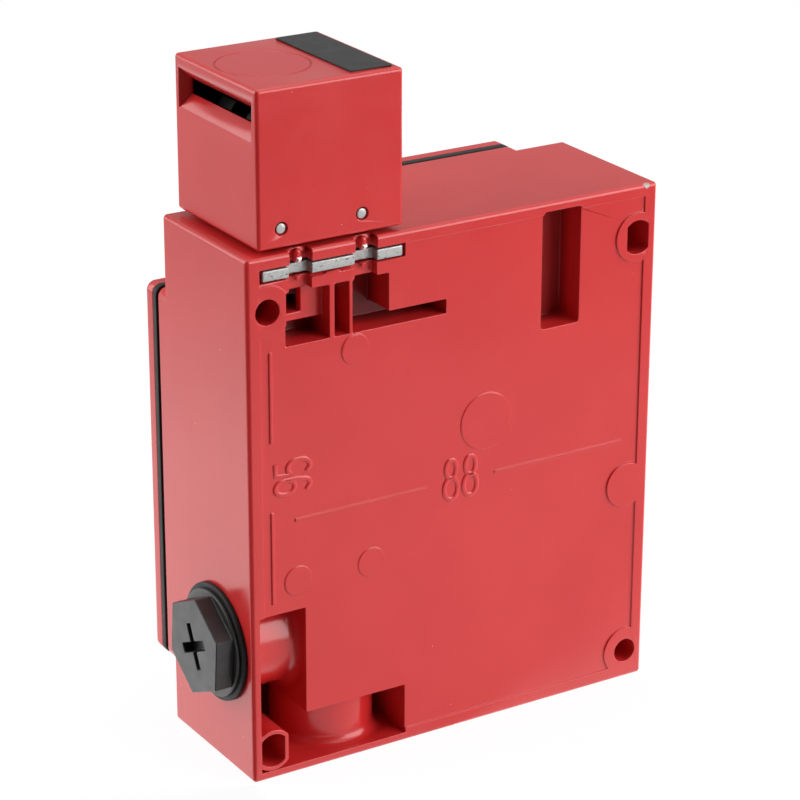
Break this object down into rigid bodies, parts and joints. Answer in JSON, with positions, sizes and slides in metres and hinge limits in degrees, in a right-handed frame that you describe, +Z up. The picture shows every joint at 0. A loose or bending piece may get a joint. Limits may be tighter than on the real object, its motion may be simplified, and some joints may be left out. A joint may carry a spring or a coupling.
{
  "type": "tongue interlock switch",
  "caption": "Metal guard-door tongue switch with a turret head, coded wheel, solenoid lock, key release, contact module and two cable entries.",
  "frame": {"origin": "centre of the 88 by 95 mm fixing-hole pattern on the rear mounting face", "axes": "+Z up towards the turret head; +Y out of the rear mounting face; -Y out of the cover; +X towards the side that carries the head and the side cable entry"},
  "size_m": [0.1029, 0.0426, 0.146],
  "materials": {
    "red_paint": "satin red powder paint on zinc die casting",
    "black_rubber": "matte moulded rubber",
    "zinc_steel": "zinc plated",
    "fork_steel": "stamped and zinc plated",
    "grey_plastic": "fine moulded grey polyamide",
    "black_plastic": "moulded black polyamide",
    "works_plastic": "moulded natural polyester",
    "copper_coil": "enamelled copper wire under clear tape",
    "solenoid_steel": "bright zinc plated iron",
    "bright_steel": "turned and hardened steel",
    "contact_brass": "stamped brass with silver tips",
    "lock_chrome": "satin chrome",
    "amber_lens": "translucent amber",
    "green_lens": "translucent green",
    "clear_epoxy": "clear epoxy"
  },
  "bodies": {
    "housing_body": {"housing": "red_paint", "cover_gasket": "black_rubber", "cover": "red_paint", "cover_screws": "zinc_steel", "blanking_plug": "grey_plastic", "plug_seal": "black_rubber", "solenoid_frame": "solenoid_steel", "coil_bobbin": "works_plastic", "coil_winding": "copper_coil", "pole_piece": "solenoid_steel", "core_spring": "zinc_steel", "frame_screws": "zinc_steel", "contact_block": "works_plastic", "fixed_contacts": "contact_brass", "contact_screws": "zinc_steel", "slide_spring": "zinc_steel", "lock_barrel": "lock_chrome", "lock_nut": "lock_chrome", "lamp_lens_amber": "amber_lens", "lamp_lens_green": "green_lens", "lamp_board": "black_plastic", "lamp_diodes": "clear_epoxy", "terminal_block": "works_plastic", "terminal_clamps": "contact_brass", "terminal_screws": "zinc_steel", "earth_screw": "zinc_steel"},
    "head": {"head_housing": "red_paint", "head_base": "bright_steel", "head_pins": "zinc_steel", "head_seal": "black_rubber", "slot_plug": "black_plastic", "cam_axle": "bright_steel"},
    "wheel": {"cam_wheel": "bright_steel", "cam_disc": "bright_steel"},
    "plunger": {"head_plunger": "bright_steel"},
    "slide": {"lock_slide": "bright_steel", "contact_carriage": "black_plastic", "contact_bridges": "contact_brass"},
    "bolt": {"solenoid_core": "solenoid_steel", "locking_bolt": "solenoid_steel"},
    "key": {"lock_rotor": "lock_chrome"},
    "fork": {"retaining_fork": "fork_steel"}
  },
  "joints": [
    {"name": "head_turn", "type": "hinge", "parent": "housing_body", "child": "head", "pos_m": [0.029, -0.0173, 0.0596], "axis": [0, 0, 1], "range_deg": [-90, 180]},
    {"name": "wheel_turn", "type": "hinge", "parent": "head", "child": "wheel", "pos_m": [0.029, -0.0173, 0.0748], "axis": [0, -1, 0], "range_deg": [0, 60]},
    {"name": "plunger_lift", "type": "slide", "parent": "head", "child": "plunger", "axis": [0, 0, 1], "range_m": [0, 0.005]},
    {"name": "slide_lift", "type": "slide", "parent": "housing_body", "child": "slide", "axis": [0, 0, 1], "range_m": [0, 0.005]},
    {"name": "bolt_stroke", "type": "slide", "parent": "housing_body", "child": "bolt", "axis": [1, 0, 0], "range_m": [0, 0.0026]},
    {"name": "key_turn", "type": "hinge", "parent": "housing_body", "child": "key", "pos_m": [0.0201, -0.0423, 0.0226], "axis": [0, -1, 0], "range_deg": [0, 90]},
    {"name": "fork_pull", "type": "slide", "parent": "housing_body", "child": "fork", "axis": [0, 1, 0], "range_m": [0, 0.016]}
  ],
  "couplings": [
    {"joint": "plunger_lift", "follows": "wheel_turn", "m_per_rad": 0.0047699},
    {"joint": "slide_lift", "follows": "wheel_turn", "m_per_rad": 0.0047699}
  ]
}
